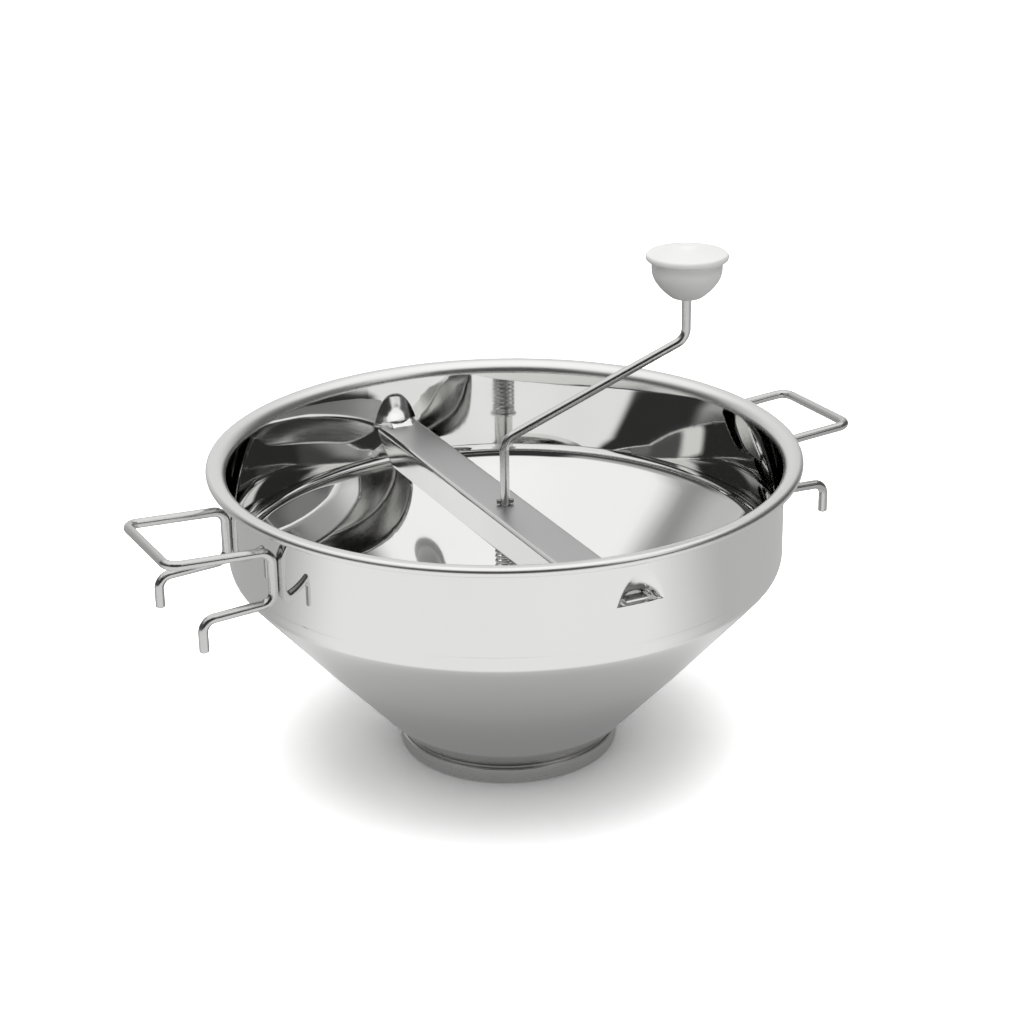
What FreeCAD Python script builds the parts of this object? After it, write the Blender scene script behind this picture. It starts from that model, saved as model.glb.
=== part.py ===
import FreeCAD, Part
import math
import os

from FreeCAD import Vector

# Funnel-shaped food mill. Millimetres, +Z up, origin at the centre of the foot's underside.
# The handles lie along X, the crossbar along Y apart from the small bar_turn.

# Bowl, all radii to the outside of the sheet
rim_radius = 155.0
rim_height = 165.0
bead_radius = 2.5
lip_bend = 6.0
lip_width = 9.5
bowl_sheet = 0.9
wall_height = 55.3
shoulder_bend = 5.0
belly_bulge = 1.5
belly_rounding = 0.8
neck_radius = 57.0
neck_height = 10.3
neck_bend = 1.5
ledge_bend = 1.5
ledge_width = 6.5

# Foot ring around the neck
foot_sheet = 1.5
foot_flange = 5.0
foot_bend = 1.6

# Hoods pressed inward out of the wall, which hold the crossbar down
hood_drop = 29.0
hood_height = 15.5
hood_half_width = 13.5
hood_depth = 11.0
hood_tip_half_width = 3.0
hood_tip_depth = 1.6
hood_edge_slope = 0.26

# Crossbar, an inverted channel
bar_turn = -2.2
bar_drop = 1.0
bar_width = 25.6
bar_depth = 17.7
bar_sheet = 1.2
bar_bend = 1.8
bar_end_gap = 3.0
bar_end_height = 13.5
bar_end_slope = 19.0
bar_foot_bend = 9.0
tongue_width = 12.0
tongue_rise = 3.2
tongue_run = 5.0
tongue_length = 5.5
tongue_gap = 0.5
tongue_slit = 1.0

# Crank, one bent rod that is shaft, arm and spindle
rod_radius = 2.5
crank_angle = -20.0
crank_reach = 95.7
crank_elbow_above_rim = 5.9
crank_rise = 50.0
crank_bend = 9.0
spindle_length = 36.0
shaft_tip_height = 1.2
tip_chamfer = 0.6
shaft_clearance = 0.3

# Pins, sleeve, washers and spring on the shaft
pin_radius = 1.25
bar_pin_length = 9.0
bar_pin_gap = 0.5
sleeve_wall = 2.05
sleeve_fit = 0.05
drive_pin_drop = 37.6
washer_overhang = 0.8
washer_thickness = 1.0
seat_thickness = 1.4
spring_wire_radius = 0.8
spring_inside_gap = 1.7
spring_space = 49.8
spring_turns = 18.5
spring_seat_gap = 0.1

# Sieve disc and its centre bushing
sieve_sheet = 1.0
sieve_edge_gap = 0.25
sieve_edge_height = 6.5
sieve_edge_bend = 2.0
sieve_hole_radius = 2.0
sieve_hole_pitch = 8.2
sieve_inner_ring = 13.0
sieve_plain_edge = 4.5
bushing_wall = 1.6
bushing_flange_radius = 7.0
bushing_flange = 0.9
bushing_fit = 0.1

# Blade, one helical wing
blade_sheet = 1.2
blade_edge_gap = 1.5
blade_rise = 24.0
blade_sweep = 200.0
blade_gap = 0.4
blade_weld_gap = 0.2

# Wire handles with hooks
wire_radius = 2.5
handle_half_width = 30.5
handle_reach = 52.2
hook_reach = 36.9
loop_drop = 11.9
loop_slope = 3.0
arm_drop = 41.9
arm_slope = -1.7
hook_length = 16.5
handle_bend = 6.5
weld_gap = 0.05

# Knob
knob_lift = 22.0
knob_bottom_radius = 7.0
knob_body_radius = 17.6
knob_body_height = 19.8
knob_waist_radius = 15.1
knob_waist_height = 8.9
knob_fit = 0.15
knob_cap_radius = 21.4
knob_edge = 4.0
knob_dome = 2.6
knob_edge_bend = 1.9
recess_radius = 12.5
recess_depth = 8.5
spigot_wall = 2.0
spigot_depth = 3.0
spigot_fit = 0.1
retainer_radius = 6.0
retainer_thickness = 1.2
retainer_gap = 0.3

# Places that follow from the sizes above
wall_radius = rim_radius - lip_width
wall_inside = wall_radius - bowl_sheet
shoulder_height = rim_height - wall_height
foot_height = neck_height - neck_bend
hood_base = rim_height - hood_drop
bar_top = hood_base - bar_drop
washer_bottom = bar_top - bar_sheet - washer_thickness
spring_bottom = washer_bottom - spring_space
spring_radius = rod_radius + spring_inside_gap + spring_wire_radius
washer_radius = spring_radius + spring_wire_radius + washer_overhang
sleeve_top = spring_bottom - seat_thickness
sleeve_radius = rod_radius + sleeve_fit + sleeve_wall
drive_pin_height = sleeve_top - drive_pin_drop
bushing_radius = rod_radius + bushing_fit + bushing_wall
sieve_bottom = foot_sheet + bowl_sheet
sieve_top = sieve_bottom + sieve_sheet
sieve_flat_radius = neck_radius - bowl_sheet - sieve_edge_gap - sieve_sheet - sieve_edge_bend
blade_bottom = sieve_top + blade_gap
blade_radius = sieve_flat_radius - blade_edge_gap
crank_elbow = rim_height + crank_elbow_above_rim
crank_shoulder = crank_elbow + crank_rise
knob_bottom = crank_shoulder + knob_lift
knob_seam = knob_bottom + knob_body_height
recess_floor = knob_seam - recess_depth

AXIS = Vector(0, 0, 1)
ORIGIN = Vector(0, 0, 0)
SHORTEST_EDGE = 1e-6
REACH_PAST = 5.0
START_TO_START = 1


def rounded_path(corners, bends):
    """Edges through the corners, with each inner corner rounded to its bend radius."""
    edges = []
    start = corners[0]
    for before, corner, after, bend in zip(corners, corners[1:], corners[2:], bends):
        way_in = (corner - before).normalize()
        way_out = (after - corner).normalize()
        half_turn = way_in.getAngle(way_out) / 2
        setback = bend * math.tan(half_turn)
        first = corner - way_in * setback
        last = corner + way_out * setback
        inward = (way_out - way_in).normalize()
        middle = corner + inward * bend * (1 / math.cos(half_turn) - 1)
        if (first - start).Length > SHORTEST_EDGE:
            edges.append(Part.LineSegment(start, first).toShape())
        edges.append(Part.Arc(first, middle, last).toShape())
        start = last
    if (corners[-1] - start).Length > SHORTEST_EDGE:
        edges.append(Part.LineSegment(start, corners[-1]).toShape())
    return edges


def shifted_line(corners, bends, shift):
    """The same bent line in the XZ plane, moved sideways by shift, with its new bend radii."""
    ways = [(b - a).normalize() for a, b in zip(corners, corners[1:])]
    normals = [Vector(-way.z, 0, way.x) for way in ways]
    moved = [corners[0] + normals[0] * shift]
    radii = []
    for index, bend in enumerate(bends):
        before, after = normals[index], normals[index + 1]
        moved.append(corners[index + 1] + (before + after) * (shift / (1 + before.dot(after))))
        turns_left = ways[index].x * ways[index + 1].z > ways[index].z * ways[index + 1].x
        radii.append(bend - shift if turns_left else bend + shift)
    moved.append(corners[-1] + normals[-1] * shift)
    return rounded_path(moved, radii), moved[0], moved[-1]


def sheet_section(points, bends, thickness):
    """Face of a bent sheet from the middle line of its section, given as (x, z) points."""
    corners = [Vector(x, 0, z) for x, z in points]
    left, left_start, left_end = shifted_line(corners, bends, thickness / 2)
    right, right_start, right_end = shifted_line(corners, bends, -thickness / 2)
    caps = [
        Part.LineSegment(left_start, right_start).toShape(),
        Part.LineSegment(left_end, right_end).toShape(),
    ]
    return Part.Face(Part.Wire(Part.__sortEdges__(left + right + caps)))


def turned(face):
    """Solid of revolution of an XZ face about the shaft's axis."""
    return face.revolve(ORIGIN, AXIS, 360)


def plate(points, half_width):
    """Slab across X whose outline is given as (y, z) points."""
    corners = [Vector(-half_width, y, z) for y, z in points]
    outline = Part.makePolygon(corners + corners[:1])
    return Part.Face(outline).extrude(Vector(2 * half_width, 0, 0))


def ring(outer, inner, bottom, height):
    """Flat ring or tube around the shaft's axis."""
    base = Vector(0, 0, bottom)
    return Part.makeCylinder(outer, height, base).cut(Part.makeCylinder(inner, height, base))


def cross_pin(height, length):
    """Pin straight through the shaft, along X."""
    return Part.makeCylinder(pin_radius, length, Vector(-length / 2, 0, height), Vector(1, 0, 0))


def bent_rod(corners, bends, radius):
    """Round rod along a rounded path."""
    path = Part.Wire(rounded_path(corners, bends))
    along = (corners[1] - corners[0]).normalize()
    profile = Part.Wire(Part.makeCircle(radius, corners[0], along))
    return path.makePipeShell([profile], True, True)


def about_axis(shape, degrees):
    """The shape turned about the shaft's axis."""
    return shape.rotated(ORIGIN, AXIS, degrees)


# Bowl


def bowl_of_revolution():
    """Ledge, neck, belly, shoulder, wall and rolled rim as one bent sheet."""
    half = bowl_sheet / 2
    wall = wall_radius - half
    neck = neck_radius - half
    ledge = foot_sheet + half
    lip = rim_height - half
    bead_out = rim_radius - half
    bead_in = rim_radius - 2 * bead_radius + half
    bead_low = rim_height - 2 * bead_radius + half
    bead_bend = bead_radius - half
    slant = Vector(wall - neck, 0, shoulder_height - neck_height)
    bulge = Vector(slant.z, 0, -slant.x).normalize() * belly_bulge
    belly = Vector(neck, 0, neck_height) + slant * 0.5 + bulge
    half_turn = math.atan(belly_bulge / (slant.Length / 2))
    belly_bend = belly_rounding * (slant.Length / 2) / math.tan(half_turn)
    points = [
        (neck - ledge_width, ledge),
        (neck, ledge),
        (neck, neck_height),
        (belly.x, belly.z),
        (wall, shoulder_height),
        (wall, lip),
        (bead_out, lip),
        (bead_out, bead_low),
        (bead_in, bead_low),
        (bead_in, rim_height - bead_radius),
    ]
    bends = [ledge_bend, neck_bend, belly_bend, shoulder_bend, lip_bend, bead_bend, bead_bend, bead_bend]
    return turned(sheet_section(points, bends, bowl_sheet))


def hood_cone(inset):
    """Upright elliptical cone in the wall at +Y, narrowing to its tip, smaller by inset."""
    rings = []
    for height, half_width, depth in (
        (hood_base, hood_half_width, hood_depth),
        (hood_base + hood_height, hood_tip_half_width, hood_tip_depth),
    ):
        centre = Vector(0, wall_radius - bowl_sheet / 2, height)
        ellipse = Part.Ellipse(centre, half_width - inset, depth - inset)
        rings.append(Part.Wire(ellipse.toShape()))
    return Part.makeLoft(rings, True)


def below_hood_edge():
    """Everything under the hood's lower edge, which climbs away from the wall."""
    far = wall_radius - hood_depth - REACH_PAST
    climb = hood_edge_slope * (wall_radius - far)
    points = [
        (wall_radius, hood_base),
        (far, hood_base + climb),
        (far, hood_base - REACH_PAST),
        (wall_radius, hood_base - REACH_PAST),
    ]
    return plate(points, hood_half_width + REACH_PAST)


def make_bowl():
    bowl = bowl_of_revolution()
    hollow = hood_cone(bowl_sheet)
    inside = Part.makeCylinder(wall_radius - bowl_sheet / 2, rim_height)
    hood = hood_cone(0).common(inside).cut(hollow).cut(below_hood_edge())
    for side in (0, 180):
        bowl = bowl.cut(about_axis(hollow, side + bar_turn))
        bowl = bowl.fuse(about_axis(hood, side + bar_turn))
    return bowl


def make_foot_ring():
    middle = neck_radius + foot_sheet / 2
    low = foot_sheet / 2
    points = [(middle - foot_flange, low), (middle, low), (middle, foot_height)]
    return turned(sheet_section(points, [foot_bend], foot_sheet))


# Handles


def make_handle(side):
    """Loop, two legs on the wall and two hooks, bent from one wire. side is 0 or 180 degrees."""
    from_axis = wall_radius + wire_radius + weld_gap
    leg = math.sqrt(from_axis**2 - handle_half_width**2)
    loop_end = wall_radius + handle_reach
    hook = wall_radius + hook_reach
    loop = rim_height - loop_drop - loop_slope
    arm = rim_height - arm_drop
    half = [
        Vector(hook, handle_half_width, arm + arm_slope - hook_length),
        Vector(hook, handle_half_width, arm + arm_slope),
        Vector(leg, handle_half_width, arm),
        Vector(leg, handle_half_width, loop),
        Vector(loop_end, handle_half_width, loop + loop_slope),
    ]
    mirrored = [Vector(corner.x, -corner.y, corner.z) for corner in reversed(half)]
    corners = half + mirrored
    wire = bent_rod(corners, [handle_bend] * (len(corners) - 2), wire_radius)
    return about_axis(wire, side)


# Sieve


def sieve_holes():
    """Cutters for rings of holes, as many in each ring as the pitch allows."""
    outermost = sieve_flat_radius - sieve_plain_edge
    holes = []
    ring_radius = sieve_inner_ring
    while ring_radius < outermost:
        count = int(2 * math.pi * ring_radius / sieve_hole_pitch)
        for index in range(count):
            base = Vector(ring_radius, 0, sieve_bottom - REACH_PAST)
            hole = Part.makeCylinder(sieve_hole_radius, 2 * REACH_PAST, base)
            holes.append(about_axis(hole, index * 360 / count))
        ring_radius += sieve_hole_pitch
    return Part.makeCompound(holes)


def make_sieve_disc():
    edge = neck_radius - bowl_sheet - sieve_edge_gap - sieve_sheet / 2
    middle = sieve_bottom + sieve_sheet / 2
    points = [(bushing_radius, middle), (edge, middle), (edge, sieve_bottom + sieve_edge_height)]
    disc = turned(sheet_section(points, [sieve_edge_bend], sieve_sheet))
    return disc.cut(sieve_holes())


def make_sieve_bushing():
    bore = rod_radius + bushing_fit
    flange = ring(bushing_flange_radius, bore, sieve_bottom - bushing_flange, bushing_flange)
    tube = ring(bushing_radius, bore, sieve_bottom, sieve_sheet)
    return flange.fuse(tube).removeSplitter()


# Crossbar


def tongue():
    """Joggled tongue at the +Y end, whose tip stands in the hollow of the hood."""
    tip = wall_inside - tongue_gap
    high = tip - tongue_length
    low = high - tongue_run
    middle = bar_top - bar_sheet / 2
    points = [
        (low - tongue_run, middle),
        (low, middle),
        (high, middle + tongue_rise),
        (tip, middle + tongue_rise),
    ]
    section = sheet_section(points, [bar_bend, bar_bend], bar_sheet)
    strip = section.extrude(Vector(0, tongue_width, 0))
    strip.translate(Vector(0, -tongue_width / 2, 0))
    notch = Part.makeBox(
        tongue_length + tongue_run + REACH_PAST,
        tongue_width + 2 * tongue_slit,
        2 * REACH_PAST,
        Vector(low, -tongue_width / 2 - tongue_slit, bar_top - REACH_PAST),
    )
    return about_axis(strip, 90), about_axis(notch, 90)


def bar_side_outline(half_length):
    """Slab with the side view of the crossbar: flanges cut back to the wall at both ends."""
    bottom = bar_top - bar_depth
    foot = half_length - bar_end_slope
    corners = [
        Vector(0, half_length, bar_top - bar_end_height + bar_foot_bend),
        Vector(0, foot, bottom),
        Vector(0, -foot, bottom),
        Vector(0, -half_length, bar_top - bar_end_height + bar_foot_bend),
    ]
    edges = rounded_path(corners, [bar_foot_bend, bar_foot_bend])
    above = bar_top + REACH_PAST
    top = [corners[-1], Vector(0, -half_length, above), Vector(0, half_length, above), corners[0]]
    edges += [Part.LineSegment(a, b).toShape() for a, b in zip(top, top[1:])]
    half_width = bar_width / 2 + REACH_PAST
    slab = Part.Face(Part.Wire(edges)).extrude(Vector(2 * half_width, 0, 0))
    slab.translate(Vector(-half_width, 0, 0))
    return slab


def make_crossbar():
    half_length = math.sqrt(wall_inside**2 - (bar_width / 2) ** 2) - bar_end_gap
    side = (bar_width - bar_sheet) / 2
    top = bar_top - bar_sheet / 2
    bottom = bar_top - bar_depth
    points = [(-side, bottom), (-side, top), (side, top), (side, bottom)]
    channel = sheet_section(points, [bar_bend, bar_bend], bar_sheet).extrude(Vector(0, 2 * half_length, 0))
    channel.translate(Vector(0, -half_length, 0))
    bar = channel.common(bar_side_outline(half_length))
    strip, notch = tongue()
    for turn in (0, 180):
        bar = bar.cut(about_axis(notch, turn)).fuse(about_axis(strip, turn))
    hole = Part.makeCylinder(rod_radius + shaft_clearance, rim_height)
    return about_axis(bar.cut(hole).removeSplitter(), bar_turn)


# Crank and everything on its shaft


def bar_pin():
    return cross_pin(bar_top + bar_pin_gap + pin_radius, bar_pin_length)


def drive_pin():
    return cross_pin(drive_pin_height, 2 * sleeve_radius)


def make_crank_rod():
    top = crank_shoulder + spindle_length
    corners = [
        Vector(0, 0, shaft_tip_height),
        Vector(0, 0, crank_elbow),
        Vector(crank_reach, 0, crank_shoulder),
        Vector(crank_reach, 0, top),
    ]
    rod = bent_rod(corners, [crank_bend, crank_bend], rod_radius)
    end_rims = [edge for edge in rod.Edges if edge.BoundBox.ZLength < SHORTEST_EDGE]
    rod = rod.makeChamfer(tip_chamfer, end_rims)
    rod = rod.cut(bar_pin()).cut(drive_pin())
    return about_axis(rod, crank_angle)


def make_sleeve():
    tube = ring(sleeve_radius, rod_radius + sleeve_fit, blade_bottom, sleeve_top - blade_bottom)
    return about_axis(tube.cut(drive_pin()), crank_angle)


def make_spring_seat():
    """Washer on top of the sleeve, under the spring."""
    return ring(washer_radius, rod_radius + sleeve_fit, sleeve_top, seat_thickness)


def make_spring_washer():
    """Washer under the crossbar, over the spring."""
    return ring(washer_radius, rod_radius + shaft_clearance, washer_bottom, washer_thickness)


def make_spring():
    """Compression spring between the two washers."""
    low = spring_bottom + spring_wire_radius + spring_seat_gap
    high = washer_bottom - spring_wire_radius - spring_seat_gap
    pitch = (high - low) / spring_turns
    helix = Part.makeHelix(pitch, high - low, spring_radius)
    rise = pitch / (2 * math.pi * spring_radius)
    start = Vector(spring_radius, 0, 0)
    profile = Part.Wire(Part.makeCircle(spring_wire_radius, start, Vector(0, 1, rise)))
    coil = Part.Wire(helix).makePipeShell([profile], True, True)
    coil.translate(Vector(0, 0, low))
    return coil


def make_blade():
    """Helical wing: the raised edge leads when the crank turns clockwise, seen from above."""
    pitch = blade_rise * 360 / blade_sweep
    inner = Part.makeHelix(pitch, blade_rise, sleeve_radius + blade_weld_gap)
    outer = Part.makeHelix(pitch, blade_rise, blade_radius)
    surface = Part.makeRuledSurface(inner.Edges[0], outer.Edges[0], START_TO_START)
    wing = surface.extrude(Vector(0, 0, blade_sheet))
    wing = wing.mirror(ORIGIN, Vector(0, 1, 0))
    wing.translate(Vector(0, 0, blade_bottom))
    return about_axis(wing, crank_angle)


# Knob


def at_spindle(shape):
    """A shape made around the origin's axis, moved onto the crank's spindle."""
    return about_axis(shape.translated(Vector(crank_reach, 0, 0)), crank_angle)


def make_knob_body():
    """Bowl-shaped grip with the spindle's bore and a recess under the cap."""
    curve = Part.BSplineCurve()
    curve.interpolate([
        Vector(knob_bottom_radius, 0, knob_bottom),
        Vector(knob_waist_radius, 0, knob_bottom + knob_waist_height),
        Vector(knob_body_radius, 0, knob_seam),
    ])
    bore = rod_radius + knob_fit
    corners = [
        Vector(knob_body_radius, 0, knob_seam),
        Vector(recess_radius, 0, knob_seam),
        Vector(recess_radius, 0, recess_floor),
        Vector(bore, 0, recess_floor),
        Vector(bore, 0, knob_bottom),
        Vector(knob_bottom_radius, 0, knob_bottom),
    ]
    edges = [curve.toShape()]
    edges += [Part.LineSegment(a, b).toShape() for a, b in zip(corners, corners[1:])]
    return at_spindle(turned(Part.Face(Part.Wire(Part.__sortEdges__(edges)))))


def make_knob_cap():
    """Domed cap with a spigot ring that snaps into the grip's recess."""
    spigot = recess_radius - spigot_fit
    spigot_bottom = knob_seam - spigot_depth
    edge_top = knob_seam + knob_edge
    crown_edge = Vector(knob_cap_radius - knob_edge_bend, 0, edge_top)
    crown_top = Vector(0, 0, edge_top + knob_dome)
    dome_radius = (crown_edge.x**2 + knob_dome**2) / (2 * knob_dome)
    half_way = math.asin(crown_edge.x / dome_radius) / 2
    half_sag = dome_radius * (1 - math.cos(half_way))
    crown_middle = Vector(dome_radius * math.sin(half_way), 0, crown_top.z - half_sag)
    rim = [
        crown_edge,
        Vector(knob_cap_radius, 0, edge_top),
        Vector(knob_cap_radius, 0, knob_seam),
        Vector(spigot, 0, knob_seam),
    ]
    underside = [
        rim[-1],
        Vector(spigot, 0, spigot_bottom),
        Vector(spigot - spigot_wall, 0, spigot_bottom),
        Vector(spigot - spigot_wall, 0, knob_seam),
        Vector(0, 0, knob_seam),
        crown_top,
    ]
    edges = [Part.Arc(crown_top, crown_middle, crown_edge).toShape()]
    edges += rounded_path(rim, [knob_edge_bend, knob_edge_bend])
    edges += [Part.LineSegment(a, b).toShape() for a, b in zip(underside, underside[1:])]
    return at_spindle(turned(Part.Face(Part.Wire(edges))))


def make_knob_retainer():
    """Push-on washer at the spindle's end, inside the grip's recess."""
    bottom = recess_floor + retainer_gap
    return at_spindle(ring(retainer_radius, rod_radius, bottom, retainer_thickness))


PIECES = {
    "bowl": make_bowl,
    "foot_ring": make_foot_ring,
    "handle_right": lambda: make_handle(0),
    "handle_left": lambda: make_handle(180),
    "sieve_disc": make_sieve_disc,
    "sieve_bushing": make_sieve_bushing,
    "crossbar": make_crossbar,
    "spring_washer": make_spring_washer,
    "spring": make_spring,
    "spring_seat": make_spring_seat,
    "crank_rod": make_crank_rod,
    "bar_pin": lambda: about_axis(bar_pin(), crank_angle),
    "blade_sleeve": make_sleeve,
    "drive_pin": lambda: about_axis(drive_pin(), crank_angle),
    "blade": make_blade,
    "knob_body": make_knob_body,
    "knob_cap": make_knob_cap,
    "knob_retainer": make_knob_retainer,
}

os.makedirs("parts", exist_ok=True)
for node, make in PIECES.items():
    make().exportStep(f"parts/{node}.step")
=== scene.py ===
import math
from contextlib import contextmanager

import bmesh
import bpy
import numpy as np
from mathutils import Matrix, Vector


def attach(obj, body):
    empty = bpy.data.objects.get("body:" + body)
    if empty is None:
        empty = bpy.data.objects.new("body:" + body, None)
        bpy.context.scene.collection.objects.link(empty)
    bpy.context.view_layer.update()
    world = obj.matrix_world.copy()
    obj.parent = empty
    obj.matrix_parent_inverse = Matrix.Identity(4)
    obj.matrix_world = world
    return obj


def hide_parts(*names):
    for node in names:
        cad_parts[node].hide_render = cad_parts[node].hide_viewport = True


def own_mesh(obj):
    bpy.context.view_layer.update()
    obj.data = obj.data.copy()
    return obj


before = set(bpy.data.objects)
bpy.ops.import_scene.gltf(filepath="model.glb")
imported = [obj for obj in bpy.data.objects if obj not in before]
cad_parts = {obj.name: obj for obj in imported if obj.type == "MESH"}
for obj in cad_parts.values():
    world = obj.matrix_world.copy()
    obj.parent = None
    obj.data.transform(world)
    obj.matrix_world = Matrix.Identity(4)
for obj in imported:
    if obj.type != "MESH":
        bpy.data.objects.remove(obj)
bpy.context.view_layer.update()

MM = 0.001

# Sizes in mm, close to the CAD's. The bowl's shoulder bend, draw line and hoods and the roundness of the
# knob's grip are fitted to the photograph

# Bowl
RIM_RADIUS = 155.0
RIM_HEIGHT = 165.0
BEAD_RADIUS = 2.5
LIP_BEND = 6.0
WALL_RADIUS = 145.5
SHEET = 0.9
SHOULDER_HEIGHT = 109.7
SHOULDER_BEND = 11.0
DRAW_LINE_RISE = 5.2
DRAW_LINE_STEP = 0.1
DRAW_LINE_HEIGHT = 0.5
DRAW_LINE_BEND = 0.2
BELLY_BULGE = 1.5
BELLY_ROUNDING = 0.8
NECK_RADIUS = 57.0
NECK_HEIGHT = 10.3
NECK_BEND = 1.5
LEDGE_BEND = 1.5
LEDGE_WIDTH = 6.5
HOOD_BASE = 136.0
HOOD_HEIGHT = 15.5
HOOD_HALF_WIDTH = 12.6
HOOD_DEPTH = 10.0
HOOD_ROUNDING = 2.6
HOOD_SWELL = 0.4
HOOD_SWELL_POWER = 4.0
HOOD_FILLET = 0.09
HOOD_EDGE_RISE = 0.26
HOOD_TURN = math.radians(-1.8)
HOOD_MARGIN = 0.5
HOOD_FULL_DULLNESS = 0.8

# Foot ring
FOOT_SHEET = 1.5
FOOT_HEIGHT = 8.8
FOOT_FLANGE = 5.0
FOOT_BEND = 1.6
FOOT_NOSE = 0.7
FOOT_EDGE_BEND = 0.35

# Crossbar
BAR_TURN = math.radians(-2.2)
BAR_TOP = 135.0
BAR_WIDTH = 25.6
BAR_DEPTH = 17.7
BAR_SHEET = 1.2
BAR_BEND = 1.8
BAR_END_GAP = 3.0
BAR_END_HEIGHT = 4.5
BAR_END_SLOPE = 19.0
BAR_FOOT_BEND = 9.0
TONGUE_HALF_WIDTH = 6.0
TONGUE_SLIT = 1.0
TONGUE_RISE = 3.2
TONGUE_RUN = 5.0
TONGUE_LENGTH = 5.5
TONGUE_GAP = 0.5
SHAFT_HOLE = 2.8
BAR_EDGE = 0.2

# Crossbar: heights of its sheet, and places from its middle to the tip of a tongue
BAR_CROWN = BAR_TOP - BAR_SHEET / 2
FLANGE_TOP = BAR_CROWN - BAR_BEND
SLIT_SIDE = TONGUE_HALF_WIDTH + TONGUE_SLIT
BAR_HALF_LENGTH = math.sqrt((WALL_RADIUS - SHEET) ** 2 - (BAR_WIDTH / 2) ** 2) - BAR_END_GAP
TONGUE_TIP = WALL_RADIUS - SHEET - TONGUE_GAP
RAMP_END = TONGUE_TIP - TONGUE_LENGTH
RAMP_START = RAMP_END - TONGUE_RUN

# Wire handles
WIRE_RADIUS = 2.5
HANDLE_HALF_WIDTH = 30.5
HANDLE_REACH = 52.2
HOOK_REACH = 36.9
LOOP_DROP = 11.9
LOOP_SLOPE = 3.0
ARM_DROP = 41.9
ARM_SLOPE = -1.7
HOOK_LENGTH = 16.5
HANDLE_BEND = 6.5
WELD_GAP = 0.05

# Crank
ROD_RADIUS = 2.5
CRANK_ANGLE = math.radians(-20.0)
CRANK_REACH = 95.7
SHAFT_TIP = 1.2
CRANK_ELBOW = 170.9
CRANK_SHOULDER = 220.9
CRANK_BEND = 9.0
SPINDLE_TOP = 256.9
TIP_CHAMFER = 0.6

# Pieces on the shaft
PIN_RADIUS = 1.25
PIN_CHAMFER = 0.3
BAR_PIN_HEIGHT = 136.75
BAR_PIN_LENGTH = 9.0
SLEEVE_RADIUS = 4.6
SLEEVE_BORE = 2.55
SLEEVE_TOP = 81.6
SLEEVE_CHAMFER = 0.4
DRIVE_PIN_HEIGHT = 44.0
DRIVE_PIN_LENGTH = 2 * SLEEVE_RADIUS + 0.6
WASHER_RADIUS = 6.6
SEAT_THICKNESS = 1.4
SEAT_CHAMFER = 0.25
WASHER_BOTTOM = 132.8
WASHER_THICKNESS = 1.0
WASHER_CHAMFER = 0.2
SIEVE_BOTTOM = 2.4
SIEVE_SHEET = 1.0
BUSHING_BORE = 2.6
BUSHING_RADIUS = 4.2
BUSHING_FLANGE_RADIUS = 7.0
BUSHING_FLANGE = 0.9
BUSHING_CHAMFER = 0.2
BLADE_BOTTOM = 3.8
BLADE_SHEET = 1.2
BLADE_INNER = 4.8
BLADE_RADIUS = 51.35
BLADE_RISE = 24.0
BLADE_SWEEP = math.radians(200.0)
BLADE_EDGE = 0.25

# Spring
SPRING_LOW = 83.1
SPRING_HIGH = 132.7
SPRING_RADIUS = 5.0
SPRING_WIRE = 0.8
SPRING_TURNS = 18.5
SPRING_CLOSED_TURNS = 1.25
SPRING_CLOSED_PITCH = 2 * 1.03 * SPRING_WIRE
SPRING_BLEND_TURNS = 0.5
SPRING_CHAMFER = 0.15

# Knob
KNOB_CENTRE = (CRANK_REACH * math.cos(CRANK_ANGLE), CRANK_REACH * math.sin(CRANK_ANGLE))
KNOB_BOTTOM = 242.9
KNOB_SEAM = 262.7
KNOB_BOTTOM_RADIUS = 7.5
KNOB_WAIST_RADIUS = 16.3
KNOB_WAIST_HEIGHT = 8.9
KNOB_BODY_RADIUS = 17.6
KNOB_BORE = 2.65
KNOB_BORE_CHAMFER = 0.6
KNOB_FOOT_BEND = 0.9
KNOB_FOOT_EDGE = 0.2
KNOB_FOOT_RISE = 0.12
KNOB_SEAM_CHAMFER = 0.35
KNOB_CAP_RADIUS = 21.4
KNOB_EDGE = 4.0
KNOB_DOME = 2.6
KNOB_EDGE_BEND = 1.9
RECESS_RADIUS = 12.5
RECESS_FLOOR = 254.2
SPIGOT_RADIUS = 12.4
SPIGOT_WALL = 2.0
SPIGOT_DEPTH = 3.0

# Fineness of the meshes. Edges over SHARP or BOWL_SHARP degrees stay sharp. The bowl's arcs have a point
# every BOWL_ARC_STEP degrees, and its rows are at most BOWL_ROW mm apart
SHARP = 35.0
BOWL_SHARP = 40.0
BOWL_ARC_STEP = 8.0
BOWL_ROW = 8.0
BOWL_COLUMN = math.radians(1.5)
HOOD_CELL = 0.5
HOOD_EXTRA_COLUMNS = 6
SPRING_TURN_STEPS = 40
KNOB_STEPS = 32
CAP_STEPS = 24

# Finish. The hoods, the rolled rim, the neck and the top of the crossbar aren't polished. The crossbar's top
# is also darker than its sides, which is painted shade
STEEL_TONE = (0.85, 0.85, 0.84)
# darker tone towards the neck, where the cone meets the foot
NECK_TONE = (0.80, 0.80, 0.79)
# painted shade on the crossbar's top, which is darker than its sides
BAR_TOP_PAINTED_SHADE = (0.58, 0.58, 0.58)
HOOD_ROUGHNESS = 0.17
RIM_ROUGHNESS = 0.3
NECK_ROUGHNESS = 0.3
BAR_TOP_ROUGHNESS = 0.42
RIM_FADE = 2.0
NECK_FADE_START = 14.0
NECK_FADE_END = 2.0
FOOT_TONE = (0.70, 0.70, 0.69)
WIRE_TONE = (0.66, 0.66, 0.65)
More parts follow.
